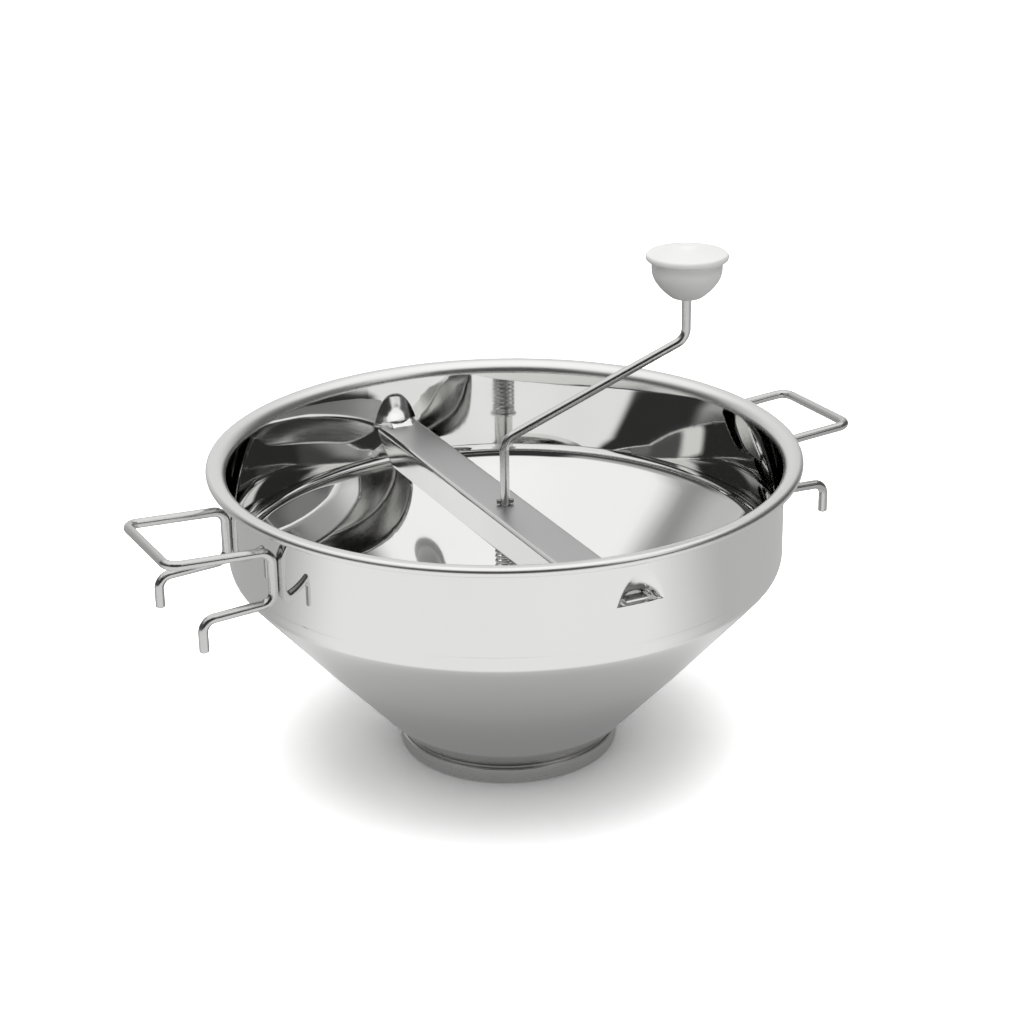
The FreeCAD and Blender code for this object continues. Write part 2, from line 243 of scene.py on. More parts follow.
# dark partly as painted shade, for the shade at the shaft's hole under the pin
PIN_TONE_AND_SHADE = (0.30, 0.30, 0.29)
PLASTIC_TONE = (0.90, 0.90, 0.89)
PLASTIC_SHADE = (0.86, 0.86, 0.845)
SMEAR_SHADE = 0.95

# Lamps, in metres. A glow of 1 is white
LAMP_HEIGHT = 1.53
WIDE_LAMP_RADIUS = 1.29
WIDE_LAMP_GLOW = 1.15
OVERHEAD_LAMP_RADIUS = 0.8
OVERHEAD_LAMP_GLOW = 2.0
FRONT_LAMP_PLACE = (-0.893, -1.672, 0.42)
FRONT_LAMP_AIM = (0, 0, 0.24)
FRONT_LAMP_RADIUS = 0.6
FRONT_LAMP_GLOW = 1.5
FILL_GLOW = 0.2

# Floor. Matt surfaces see FLOOR_TONE, and the camera a tone that goes up from NEAR_FLOOR to FAR_FLOOR metres,
# which is painted light: a tone over 1 that rises with distance stands in for more light on the floor.
# Metal sees a glow, which is added up from under the foot out to past the rim. It is a painted shadow of
# the mill, with a painted falloff of light that is darker to the sides and behind than on the camera's side
FLOOR_TONE = 0.8
NEAR_FLOOR = 0.5
NEAR_FLOOR_TONE = 2.2
FAR_FLOOR = 2.5
FAR_FLOOR_TONE = 6.0
FLOOR_GLOW = 0.9
UNDER_FOOT_GLOW = 0.28
UNDER_CONE_GLOW = 0.27
UNDER_CONE = (58, 125)
PAST_RIM_GLOW = 0.45
PAST_RIM = (105, 155)
FLOOR_AROUND = (100, 200)
SIDE_FLOOR_GLOW = 0.50
RIGHT_FLOOR_GLOW = 0.57
RIGHT_FLOOR = (50, 150, 30)
FRONT_FLOOR = (143, 283, 40)

# Studio that metal sees, in degrees. An area is (start, end, softness) round the mill, and its rise goes
# from the elevation where it starts to the one where it is full
STUDIO_RADIUS = 2.0
ROOM_GLOW = 0.11
RIGHT_PANEL_GLOW = 0.21
RIGHT_PANEL = (78, 104, 10)
RIGHT_PANEL_RISE = (26, 34)
BACKDROP_GLOW = 0.56
BACKDROP = (-42, 66, 28)
BACKDROP_MIDDLE_GLOW = 0.76
BACKDROP_MIDDLE = (-12, 45, 30)
LEFT_LOW_GLOW = 0.08
LEFT_HIGH_GLOW = 0.42
LEFT = (-122, -46, 16)
LEFT_RISE = (27, 35)
CAMERA_SIDE_GLOW = 0.035
CAMERA_SIDE = (142, 240, 16)
FRONT_PANEL_GLOW = 1.0
FRONT_PANEL = (140, 166, 10)
FRONT_PANEL_RISE = (20, 24)
SOFTBOX_GLOW = 1.02
SOFTBOX_TOP_GLOW = 1.12
SOFTBOX_TOP_RISE = (58, 76)
SOFTBOX_START = 41
SOFTBOX_HIGH_START = 47
SOFTBOX_HIGH = (176, 240, 16)
SOFTBOX_SOFTNESS = 8

# Camera, in degrees, metres and mm of lens
CAMERA_AZIMUTH = -27.905
CAMERA_ELEVATION = 22.162
CAMERA_ROLL = -0.807
CAMERA_DISTANCE = 1.22974
CAMERA_AIM_HEIGHT = 0.130486
CAMERA_AIM_SIDE = 0.003544
CAMERA_LENS = 82.09


# Mesh helpers


def between(value, low, high):
    """Smooth step from 0 at low to 1 at high."""
    t = min(1.0, max(0.0, (value - low) / (high - low)))
    return t * t * (3 - 2 * t)


def mixed(first, second, share):
    """Value between two values, the second one where share is 1."""
    return first + (second - first) * share


def rounded(points, bends, step=6.0):
    """Line through the points, with corners bent to the given radii by a point every step degrees."""
    points = [Vector(p) for p in points]
    line = [points[0]]
    for before, corner, after, bend in zip(points, points[1:], points[2:], bends):
        way_in = (corner - before).normalized()
        way_out = (after - corner).normalized()
        turn = way_in.angle(way_out)
        setback = bend * math.tan(turn / 2)
        inward = (way_out - way_in).normalized()
        centre = corner + inward * (bend / math.cos(turn / 2))
        first = corner - way_in * setback - centre
        across = way_in * bend
        count = max(2, math.ceil(math.degrees(turn) / step))
        for index in range(count + 1):
            angle = turn * index / count
            line.append(centre + first * math.cos(angle) + across * math.sin(angle))
    line.append(points[-1])
    return [p for p, q in zip(line, line[1:]) if (q - p).length > 1e-6] + [line[-1]]


def divided(line, longest):
    """The same line with extra points, so that no run is longer than longest."""
    result = [line[0]]
    for a, b in zip(line, line[1:]):
        count = max(1, math.ceil((b - a).length / longest - 1e-9))
        result += [a.lerp(b, index / count) for index in range(1, count + 1)]
    return result


@contextmanager
def editing(mesh):
    """The mesh as a bmesh, which is put back when the with block ends."""
    shape = bmesh.new()
    shape.from_mesh(mesh)
    yield shape
    shape.to_mesh(mesh)
    shape.free()


def new_mesh(name, vertices, faces):
    """Mesh from vertices in mm."""
    mesh = bpy.data.meshes.new(name)
    mesh.from_pydata([tuple(c * MM for c in v) for v in vertices], [], faces)
    return mesh


def linked(name, data):
    """Object in the scene with that data."""
    obj = bpy.data.objects.new(name, data)
    bpy.context.scene.collection.objects.link(obj)
    return obj


def mesh_object(name, vertices, faces):
    """Object from vertices in mm, smooth except at sharp edges."""
    mesh = new_mesh(name, vertices, faces)
    mesh.validate()
    obj = linked(name, mesh)
    finish_mesh(obj)
    return obj


def finish_mesh(obj, sharp=SHARP):
    """Outward normals, smooth shading and marked sharp edges."""
    with editing(obj.data) as shape:
        bmesh.ops.recalc_face_normals(shape, faces=shape.faces)
    obj.data.shade_smooth()
    obj.data.set_sharp_from_angle(angle=math.radians(sharp))


def ring_faces(rings, count, left_out=()):
    """Faces from each ring of count vertices to the next one, apart from the rings left out."""
    faces = []
    for ring in range(rings - 1):
        if ring in left_out:
            continue
        a, b = ring * count, (ring + 1) * count
        for index in range(count):
            after = (index + 1) % count
            faces.append((a + index, a + after, b + after, b + index))
    return faces


def apply_modifiers(obj):
    """Puts the result of the object's modifiers in its mesh."""
    depsgraph = bpy.context.evaluated_depsgraph_get()
    mesh = bpy.data.meshes.new_from_object(obj.evaluated_get(depsgraph))
    obj.modifiers.clear()
    obj.data = mesh


def thicken(obj, thickness):
    """Turns a surface into a sheet of that thickness in mm, half on each side."""
    solidify = obj.modifiers.new("sheet", "SOLIDIFY")
    solidify.thickness = thickness * MM
    solidify.offset = 0.0
    solidify.use_even_offset = True
    apply_modifiers(obj)


def drill(obj, radius):
    """Round hole along the shaft's axis."""
    line = [Vector((0, 0, 0)), Vector((0, 0, 200))]
    tool = tube("drill", line, radius, segments=48)
    hole = obj.modifiers.new("hole", "BOOLEAN")
    hole.object = tool
    hole.solver = "EXACT"
    apply_modifiers(obj)
    bpy.data.objects.remove(tool)


def soften_edges(obj, width):
    """Small rounding of width mm on the sharp edges, which catches the light."""
    bevel = obj.modifiers.new("edges", "BEVEL")
    bevel.width = width * MM
    bevel.segments = 2
    bevel.limit_method = "ANGLE"
    bevel.angle_limit = math.radians(SHARP)
    apply_modifiers(obj)
    finish_mesh(obj)


def drop_loose(obj):
    """Removes vertices without a face."""
    with editing(obj.data) as shape:
        bmesh.ops.delete(shape, geom=[v for v in shape.verts if not v.link_faces], context="VERTS")


def turned(name, outline, segments=96, centre=(0.0, 0.0)):
    """Solid of revolution of a closed outline of (radius, height) points."""
    vertices = []
    faces = []
    count = len(outline)
    for segment in range(segments):
        angle = 2 * math.pi * segment / segments
        for r, z in outline:
            vertices.append((centre[0] + r * math.cos(angle), centre[1] + r * math.sin(angle), z))
    for segment in range(segments):
        here, there = segment * count, (segment + 1) % segments * count
        for index in range(count):
            after = (index + 1) % count
            faces.append((here + index, there + index, there + after, here + after))
    obj = mesh_object(name, vertices, faces)
    weld(obj)
    return obj


def weld(obj):
    """Merges points that lie on one another, such as those on the axis of a turned piece."""
    with editing(obj.data) as shape:
        bmesh.ops.remove_doubles(shape, verts=shape.verts, dist=1e-7)
        bmesh.ops.dissolve_degenerate(shape, edges=shape.edges, dist=1e-8)
    finish_mesh(obj)


def tube(name, line, radius, segments, chamfer=0.0):
    """Round rod along a line of points in mm, with flat or chamfered ends."""
    ways = [(b - a).normalized() for a, b in zip(line, line[1:])]
    tangents = [ways[0]] + [(a + b).normalized() for a, b in zip(ways, ways[1:])] + [ways[-1]]
    side = tangents[0].orthogonal().normalized()
    rings = []
    for index, (point, tangent) in enumerate(zip(line, tangents)):
        if index:
            side = tangents[index - 1].rotation_difference(tangent) @ side
        side = (side - tangent * side.dot(tangent)).normalized()
        rings.append((point, tangent, side, radius))
    if chamfer:
        first, last = rings[0], rings[-1]
        rings[0] = (*first[:3], radius - chamfer)
        rings.insert(1, (first[0] + first[1] * chamfer, *first[1:]))
        rings[-1] = (last[0] - last[1] * chamfer, *last[1:])
        rings.append((*last[:3], radius - chamfer))
    vertices = []
    for point, tangent, across, size in rings:
        other = tangent.cross(across)
        for index in range(segments):
            angle = 2 * math.pi * index / segments
            vertices.append(point + (across * math.cos(angle) + other * math.sin(angle)) * size)
    faces = ring_faces(len(rings), segments)
    faces.append(tuple(reversed(range(segments))))
    faces.append(tuple(range((len(rings) - 1) * segments, len(rings) * segments)))
    return mesh_object(name, vertices, faces)


# Bowl, crossbar and foot


def bowl_line():
    """Middle line of the bowl's sheet as (radius, height) points, from the ledge to the bead."""
    half = SHEET / 2
    wall = WALL_RADIUS - half
    neck = NECK_RADIUS - half
    ledge = FOOT_SHEET + half
    lip = RIM_HEIGHT - half
    bead_out = RIM_RADIUS - half
    bead_in = RIM_RADIUS - 2 * BEAD_RADIUS + half
    bead_low = RIM_HEIGHT - 2 * BEAD_RADIUS + half
    bead_bend = BEAD_RADIUS - half
    slant = Vector((wall - neck, SHOULDER_HEIGHT - NECK_HEIGHT))
    bulge = Vector((slant.y, -slant.x)).normalized() * BELLY_BULGE
    belly = Vector((neck, NECK_HEIGHT)) + slant * 0.5 + bulge
    half_turn = math.atan(BELLY_BULGE / (slant.length / 2))
    belly_bend = BELLY_ROUNDING * (slant.length / 2) / math.tan(half_turn)
    corners = [
        (neck - LEDGE_WIDTH, ledge),
        (neck, ledge),
        (neck, NECK_HEIGHT),
        tuple(belly),
        (wall + DRAW_LINE_STEP, SHOULDER_HEIGHT),
        (wall + DRAW_LINE_STEP, SHOULDER_HEIGHT + DRAW_LINE_RISE),
        (wall, SHOULDER_HEIGHT + DRAW_LINE_RISE + DRAW_LINE_HEIGHT),
        (wall, lip),
        (bead_out, lip),
        (bead_out, bead_low),
        (bead_in, bead_low),
        (bead_in, RIM_HEIGHT - BEAD_RADIUS),
    ]
    bends = [LEDGE_BEND, NECK_BEND, belly_bend, SHOULDER_BEND, DRAW_LINE_BEND, DRAW_LINE_BEND, LIP_BEND]
    bends += [bead_bend] * 3
    corners = [(r, 0.0, z) for r, z in corners]
    return divided(rounded(corners, bends, BOWL_ARC_STEP), BOWL_ROW)


def hood_press(across, above):
    """How far the wall is pressed in, across mm beside a hood's middle and above mm over its base."""
    # 1 at the middle of the base and 0 on the arch that outlines the hood
    inside = 1 - above / HOOD_HEIGHT - (across / HOOD_HALF_WIDTH) ** HOOD_ROUNDING
    if inside <= -HOOD_FILLET:
        return 0.0
    if inside < HOOD_FILLET:
        inside = (inside + HOOD_FILLET) ** 2 / (4 * HOOD_FILLET)
    return HOOD_DEPTH * ((1 - HOOD_SWELL) * inside + HOOD_SWELL * inside**HOOD_SWELL_POWER)


def bowl_angles(middles):
    """Angles of the bowl's columns, which are close together round the hoods' middles."""
    wall = WALL_RADIUS - SHEET / 2
    reach = HOOD_HALF_WIDTH * (1 + HOOD_FILLET) ** (1 / HOOD_ROUNDING) + HOOD_MARGIN
    hood_columns = round(reach / HOOD_CELL)
    hood_step = reach / hood_columns / wall
    spread = hood_columns + HOOD_EXTRA_COLUMNS
    angles = []
    for middle, after in zip(middles, (middles[1], middles[0] + 2 * math.pi)):
        angles += [middle + hood_step * index for index in range(-spread, spread + 1)]
        start = middle + hood_step * spread
        end = after - hood_step * spread
        count = math.ceil((end - start) / BOWL_COLUMN)
        angles += [start + (end - start) * index / count for index in range(1, count)]
    return angles


def bowl_rows():
    """Rows of the bowl from the ledge to the bead, as (radius, height, kind).

    kind is "hood" over the cut, "cut" for the row that ends the wall below it, and "plain" elsewhere.
    """
    wall = WALL_RADIUS - SHEET / 2
    line = bowl_line()
    top = HOOD_BASE + HOOD_HEIGHT * (1 + HOOD_FILLET) + HOOD_MARGIN
    count = math.ceil((top - HOOD_BASE) / HOOD_CELL)
    rows = [(p.x, p.z, "plain") for p in line if p.z < HOOD_BASE - 3.0]
    rows += [(wall, HOOD_BASE - below, "plain") for below in (2.0, 1.0)]
    rows.append((wall, HOOD_BASE, "cut"))
    rows += [(wall, HOOD_BASE + (top - HOOD_BASE) * index / count, "hood") for index in range(count)]
    rows += [(p.x, p.z, "plain") for p in line if p.z > top and p.x > wall - 1.0]
    return rows


def make_bowl():
    """Bowl of one sheet, with two hoods pressed in above a straight cut."""
    wall = WALL_RADIUS - SHEET / 2
    middles = (math.pi / 2 + HOOD_TURN, 3 * math.pi / 2 + HOOD_TURN)
    angles = bowl_angles(middles)
    rows = bowl_rows()
    vertices = []
    presses = []
    for r, z, kind in rows:
        for angle in angles:
            press = 0.0
            rise = 0.0
            if kind == "hood":
                across = min(abs(math.remainder(angle - middle, 2 * math.pi)) for middle in middles) * wall
                above = z - HOOD_BASE
                press = hood_press(across, above)
                rise = HOOD_EDGE_RISE * press * max(0.0, 1 - above / HOOD_HEIGHT)
            vertices.append(((r - press) * math.cos(angle), (r - press) * math.sin(angle), z + rise))
            presses.append(press)
    cuts = [index for index, row in enumerate(rows) if row[2] == "cut"]
    mesh = new_mesh("bowl_shell", vertices, ring_faces(len(rows), len(angles), cuts))
    pressed = mesh.attributes.new("pressed", "FLOAT", "POINT")
    pressed.data.foreach_set("value", [between(press, 0.0, HOOD_FULL_DULLNESS) for press in presses])
    # the two rows at the cut are joined wherever nothing is pressed in
    with editing(mesh) as shape:
        bmesh.ops.remove_doubles(shape, verts=shape.verts, dist=1e-8)
        bmesh.ops.recalc_face_normals(shape, faces=shape.faces)
    bowl = linked("bowl_shell", mesh)
    thicken(bowl, SHEET)
    finish_mesh(bowl, BOWL_SHARP)
    return bowl


def bar_section():
    """Section from the left flange to the right one, as (x, z, share of the flange's depth)."""
    side = (BAR_WIDTH - BAR_SHEET) / 2
    bend_side = side - BAR_BEND
    arc = [math.radians(a) for a in range(0, 91, 10)]
    flange = [(side, FLANGE_TOP, index / 8) for index in range(8)]
    corner = [(bend_side + BAR_BEND * math.cos(a), FLANGE_TOP + BAR_BEND * math.sin(a), 1.0) for a in arc]
    crown = [(x, BAR_CROWN, 1.0) for x in (SLIT_SIDE, TONGUE_HALF_WIDTH, TONGUE_HALF_WIDTH / 2)]
    right = flange + corner + crown
    return [(-x, z, share) for x, z, share in right] + [(0.0, BAR_CROWN, 1.0)] + right[::-1]


def bar_places():
    """Places of the rows along the crossbar, closest together on the ramps of the tongues."""
    stops = [0.0, RAMP_START - 12.0, RAMP_START, RAMP_END, BAR_HALF_LENGTH, TONGUE_TIP]
    counts = [60, 8, 10, 4, 6]
    places = [0.0]
    for start, end, count in zip(stops, stops[1:], counts):
        places += [start + (end - start) * index / count for index in range(1, count + 1)]
    return [-y for y in reversed(places[1:])] + places


def flange_edges(places):
    """Heights of the flanges' lower edge at places along the crossbar."""
    bottom = BAR_TOP - BAR_DEPTH
    slope_start = BAR_HALF_LENGTH - BAR_END_SLOPE
    corners = [(0, bottom, 0), (slope_start, bottom, 0), (BAR_HALF_LENGTH, BAR_TOP - BAR_END_HEIGHT, 0)]
    edge = rounded(corners, [BAR_FOOT_BEND])
    return np.interp(np.abs(places), [p.x for p in edge], [p.y for p in edge]).tolist()


def make_crossbar():
    """Inverted channel with a joggled tongue at each end and a hole for the shaft."""
    section = bar_section()
    places = bar_places()
    turn = Matrix.Rotation(BAR_TURN, 3, "Z")
    vertices = []
    for y, edge_height in zip(places, flange_edges(places)):
        rise = TONGUE_RISE * between(abs(y), RAMP_START, RAMP_END)
        for x, z, share in section:
            if share < 1.0:
                z = edge_height + (FLANGE_TOP - edge_height) * share
            if abs(x) <= TONGUE_HALF_WIDTH:
                z += rise
            vertices.append(turn @ Vector((x, y, z)))
    faces = []
    count = len(section)
    for row in range(len(places) - 1):
        reach = max(abs(places[row]), abs(places[row + 1])) - 1e-6
        for column in range(count - 1):
            across = abs(section[column][0] + section[column + 1][0]) / 2
            in_slit = TONGUE_HALF_WIDTH < across < SLIT_SIDE
            in_tongue = across < TONGUE_HALF_WIDTH
            if in_slit and reach > RAMP_START or not in_tongue and reach > BAR_HALF_LENGTH:
                continue
            here, there = row * count + column, (row + 1) * count + column
            faces.append((here, there, there + 1, here + 1))
    bar = mesh_object("crossbar_channel", vertices, faces)
    drop_loose(bar)
    thicken(bar, BAR_SHEET)
    drill(bar, SHAFT_HOLE)
    soften_edges(bar, BAR_EDGE)
    return bar


def make_foot_ring():
    """Angle-section ring with a bent bottom edge."""
    outer = NECK_RADIUS + FOOT_SHEET
    inner_flange = NECK_RADIUS + FOOT_SHEET / 2 - FOOT_FLANGE
    corners = [
        (inner_flange, 0.0),
        (outer, 0.0),
        (outer, FOOT_HEIGHT),
        (NECK_RADIUS, FOOT_HEIGHT),
        (NECK_RADIUS, FOOT_SHEET),
        (inner_flange, FOOT_SHEET),
        (inner_flange, 0.0),
    ]
    bends = [FOOT_BEND + FOOT_SHEET / 2, FOOT_NOSE, FOOT_NOSE, FOOT_BEND - FOOT_SHEET / 2, FOOT_EDGE_BEND]
    line = rounded([(r, 0.0, z) for r, z in corners], bends, BOWL_ARC_STEP)[:-1]
    return turned("foot_collar", [(p.x, p.z) for p in line], segments=256)


# Handles


def make_handle(name, side):
    """Loop, two legs and two hooks bent from one wire. side is 1 at +X and -1 at -X."""
    from_axis = WALL_RADIUS + WIRE_RADIUS + WELD_GAP
    leg = math.sqrt(from_axis**2 - HANDLE_HALF_WIDTH**2)
    loop_end = WALL_RADIUS + HANDLE_REACH
    hook = WALL_RADIUS + HOOK_REACH
    loop = RIM_HEIGHT - LOOP_DROP - LOOP_SLOPE
    arm = RIM_HEIGHT - ARM_DROP
    half = [
        (hook, HANDLE_HALF_WIDTH, arm + ARM_SLOPE - HOOK_LENGTH),
        (hook, HANDLE_HALF_WIDTH, arm + ARM_SLOPE),
        (leg, HANDLE_HALF_WIDTH, arm),
        (leg, HANDLE_HALF_WIDTH, loop),
        (loop_end, HANDLE_HALF_WIDTH, loop + LOOP_SLOPE),
    ]
    corners = half + [(x, -y, z) for x, y, z in reversed(half)]
    line = rounded(corners, [HANDLE_BEND] * (len(corners) - 2), step=5.0)
    line = [Vector((side * p.x, side * p.y, p.z)) for p in line]
    return tube(name, line, WIRE_RADIUS, segments=36, chamfer=TIP_CHAMFER)


# Crank, what it turns and the knob


def make_crank():
    """Shaft, arm and spindle bent from one rod."""
    turn = Matrix.Rotation(CRANK_ANGLE, 3, "Z")
    corners = [
        (0, 0, SHAFT_TIP),
        (0, 0, CRANK_ELBOW),
        (CRANK_REACH, 0, CRANK_SHOULDER),
        (CRANK_REACH, 0, SPINDLE_TOP),
    ]
    line = rounded(corners, [CRANK_BEND, CRANK_BEND], step=3.0)
    line = [turn @ p for p in line]
    return tube("crank_arm", line, ROD_RADIUS, segments=40, chamfer=TIP_CHAMFER)


def make_spring():
    """Compression spring with closed end turns."""
    low = SPRING_LOW + SPRING_WIRE
    high = SPRING_HIGH - SPRING_WIRE
    open_turns = SPRING_TURNS - 2 * SPRING_CLOSED_TURNS
    open_pitch = (high - low - 2 * SPRING_CLOSED_TURNS * SPRING_CLOSED_PITCH) / open_turns
    line = []
    height = low
    for index in range(int(SPRING_TURNS * SPRING_TURN_STEPS) + 1):
        turn = index / SPRING_TURN_STEPS
        angle = 2 * math.pi * turn
        line.append(Vector((SPRING_RADIUS * math.cos(angle), SPRING_RADIUS * math.sin(angle), height)))
        open_from = min(turn, SPRING_TURNS - turn) - SPRING_CLOSED_TURNS + SPRING_BLEND_TURNS / 2
        blend = min(1.0, max(0.0, open_from / SPRING_BLEND_TURNS))
        height += mixed(SPRING_CLOSED_PITCH, open_pitch, blend) / SPRING_TURN_STEPS
    scale = (high - low) / (line[-1].z - low)
    line = [Vector((p.x, p.y, low + (p.z - low) * scale)) for p in line]
    return tube("pressure_spring", line, SPRING_WIRE, segments=14, chamfer=SPRING_CHAMFER)


def chamfered_ring(name, outer, inner, bottom, top, chamfer):
    """Ring or tube on the shaft's axis with chamfered edges."""
    outline = [
        (inner, bottom + chamfer),
        (inner + chamfer, bottom),
        (outer - chamfer, bottom),
        (outer, bottom + chamfer),
        (outer, top - chamfer),
        (outer - chamfer, top),
        (inner + chamfer, top),
        (inner, top - chamfer),
    ]
    return turned(name, outline)


def make_sleeve():
    """Tube that carries the blade and the spring."""
    return chamfered_ring(
        "spring_sleeve", SLEEVE_RADIUS, SLEEVE_BORE, BLADE_BOTTOM, SLEEVE_TOP, SLEEVE_CHAMFER
    )


def make_spring_seat():
    """Washer between the sleeve and the spring."""
    top = SLEEVE_TOP + SEAT_THICKNESS
    return chamfered_ring("spring_seat_washer", WASHER_RADIUS, SLEEVE_BORE, SLEEVE_TOP, top, SEAT_CHAMFER)


def make_bar_washer():
    """Washer between the spring and the crossbar."""
    top = WASHER_BOTTOM + WASHER_THICKNESS
    return chamfered_ring("bar_washer", WASHER_RADIUS, SHAFT_HOLE, WASHER_BOTTOM, top, WASHER_CHAMFER)


def make_cross_pin(name, height, length):
    """Pin through the shaft, along the crank's arm."""
    way = Vector((math.cos(CRANK_ANGLE), math.sin(CRANK_ANGLE), 0)) * (length / 2)
    middle = Vector((0, 0, height))
    return tube(name, [middle - way, middle + way], PIN_RADIUS, segments=24, chamfer=PIN_CHAMFER)


def make_bushing():
    """Flanged bushing in the middle of the sieve."""
    low = SIEVE_BOTTOM - BUSHING_FLANGE
    top = SIEVE_BOTTOM + SIEVE_SHEET
    edge = BUSHING_CHAMFER
    outline = [
        (BUSHING_BORE, low + edge),
        (BUSHING_BORE + edge, low),
        (BUSHING_FLANGE_RADIUS - edge, low),
        (BUSHING_FLANGE_RADIUS, low + edge),
        (BUSHING_FLANGE_RADIUS, SIEVE_BOTTOM),
        (BUSHING_RADIUS, SIEVE_BOTTOM),
        (BUSHING_RADIUS, top),
        (BUSHING_BORE + edge, top),
        (BUSHING_BORE, top - edge),
    ]
    return turned("sieve_centre_bushing", outline)


def make_blade():
    """Helical wing that rises against the crank's turning direction."""
    rows = 100
    columns = 16
    vertices = []
    for thick in (0.0, BLADE_SHEET):
        for row in range(rows + 1):
            part = row / rows
            angle = CRANK_ANGLE - BLADE_SWEEP * part
            for column in range(columns + 1):
                r = BLADE_INNER + (BLADE_RADIUS - BLADE_INNER) * column / columns
                height = BLADE_BOTTOM + BLADE_RISE * part + thick
                vertices.append((r * math.cos(angle), r * math.sin(angle), height))
    layer = (rows + 1) * (columns + 1)

    def at(row, column, level=0):
        return level * layer + row * (columns + 1) + column

    faces = []
    for row in range(rows):
        for column in range(columns):
            square = [(row, column), (row, column + 1), (row + 1, column + 1), (row + 1, column)]
            faces.append([at(r, c) for r, c in square])
            faces.append([at(r, c, 1) for r, c in reversed(square)])
        for column in (0, columns):
            faces.append([at(row, column), at(row + 1, column), at(row + 1, column, 1), at(row, column, 1)])
    for column in range(columns):
        for row in (0, rows):
            faces.append([at(row, column), at(row, column + 1), at(row, column + 1, 1), at(row, column, 1)])
    blade = mesh_object("helical_blade", vertices, faces)
    soften_edges(blade, BLADE_EDGE)
    return blade


def make_knob_grip():
    """Bowl-shaped grip with a rounded foot, a bore and a recess under the cap."""
    # quadratic through the radii at the bottom, at the waist and at the seam
    a = KNOB_BOTTOM_RADIUS
    b = KNOB_WAIST_RADIUS
    c = KNOB_BODY_RADIUS
    height = KNOB_SEAM - KNOB_BOTTOM
    k = KNOB_WAIST_HEIGHT / height
    curve = []
    for index in range(1, KNOB_STEPS):
        t = index / KNOB_STEPS
        r = a * (1 - t) * (k - t) / k + b * t * (1 - t) / (k * (1 - k)) + c * t * (t - k) / (1 - k)
        curve.append((r, KNOB_BOTTOM + height * t))
    foot = [
        (KNOB_BORE, KNOB_BOTTOM + KNOB_BORE_CHAMFER),
        (KNOB_BORE + KNOB_BORE_CHAMFER, KNOB_BOTTOM),
        (KNOB_BOTTOM_RADIUS - KNOB_FOOT_BEND, KNOB_BOTTOM),
        (KNOB_BOTTOM_RADIUS - KNOB_FOOT_EDGE, KNOB_BOTTOM + KNOB_FOOT_RISE),
    ]
    top = [
        (KNOB_BODY_RADIUS, KNOB_SEAM - KNOB_SEAM_CHAMFER),
        (KNOB_BODY_RADIUS - KNOB_SEAM_CHAMFER, KNOB_SEAM),
        (RECESS_RADIUS, KNOB_SEAM),
        (RECESS_RADIUS, RECESS_FLOOR),
        (KNOB_BORE, RECESS_FLOOR),
    ]
    return turned("knob_grip", foot + curve + top, segments=128, centre=KNOB_CENTRE)


def make_knob_cap():
    """Domed cap with a rolled edge and a spigot ring."""
    edge_top = KNOB_SEAM + KNOB_EDGE
    crown = edge_top + KNOB_DOME
    inner = SPIGOT_RADIUS - SPIGOT_WALL
    edge_radius = KNOB_CAP_RADIUS - KNOB_EDGE_BEND
    dome = (edge_radius**2 + KNOB_DOME**2) / (2 * KNOB_DOME)
    crown_line = []
    for index in range(CAP_STEPS + 1):
        r = edge_radius * index / CAP_STEPS
        crown_line.append((r, crown - dome + math.sqrt(dome**2 - r**2)))
    corners = [
        (edge_radius, 0, edge_top),
        (KNOB_CAP_RADIUS, 0, edge_top),
        (KNOB_CAP_RADIUS, 0, KNOB_SEAM),
        (SPIGOT_RADIUS, 0, KNOB_SEAM),
    ]
    rim = rounded(corners, [KNOB_EDGE_BEND, KNOB_EDGE_BEND], step=7.5)
    spigot = [
        (SPIGOT_RADIUS, KNOB_SEAM - SPIGOT_DEPTH),
        (inner, KNOB_SEAM - SPIGOT_DEPTH),
        (inner, KNOB_SEAM),
        (0.0, KNOB_SEAM),
    ]
    outline = crown_line + [(p.x, p.z) for p in rim[1:]] + spigot
    return turned("knob_dome", outline, segments=160, centre=KNOB_CENTRE)


# Materials


def new_material(name):
    """Material with Blender's default nodes."""
    material = bpy.data.materials.new(name)
    material.use_nodes = True
    return material


def feed(tree, value, socket):
    """Gives a socket its value, which is another socket, a colour or a number."""
    if isinstance(value, bpy.types.NodeSocket):
        tree.links.new(value, socket)
    elif isinstance(value, tuple):
        socket.default_value = (*value, 1)
    else:
        socket.default_value = value


def set_inputs(tree, node, **inputs):
    """Feeds a node's inputs, by socket name with _ for spaces."""
    for name, value in inputs.items():
        feed(tree, value, node.inputs[name.replace("_", " ")])


def add(tree, kind, **inputs):
    """Outputs of a new shader node with the given inputs."""
    node = tree.nodes.new(kind)
    set_inputs(tree, node, **inputs)
    return node.outputs


def coordinates(tree, kind="Object"):
    """The object's coordinates, or its normals for kind "Normal"."""
    return add(tree, "ShaderNodeTexCoord")[kind]


def upward(tree, kind="Object"):
    """Z of the coordinates."""
    return add(tree, "ShaderNodeSeparateXYZ", Vector=coordinates(tree, kind))["Z"]


def noise(tree, place, **inputs):
    """Noise from 0 to 1 at the given coordinates."""
    return add(tree, "ShaderNodeTexNoise", Vector=place, **inputs)["Fac"]


def ranged(tree, value, **inputs):
    """The value carried from one range to another and kept inside it."""
    return add(tree, "ShaderNodeMapRange", Value=value, **inputs)["Result"]


def bumped(tree, height, **inputs):
    """Normals of a surface with that height."""
    return add(tree, "ShaderNodeBump", Height=height, **inputs)["Normal"]


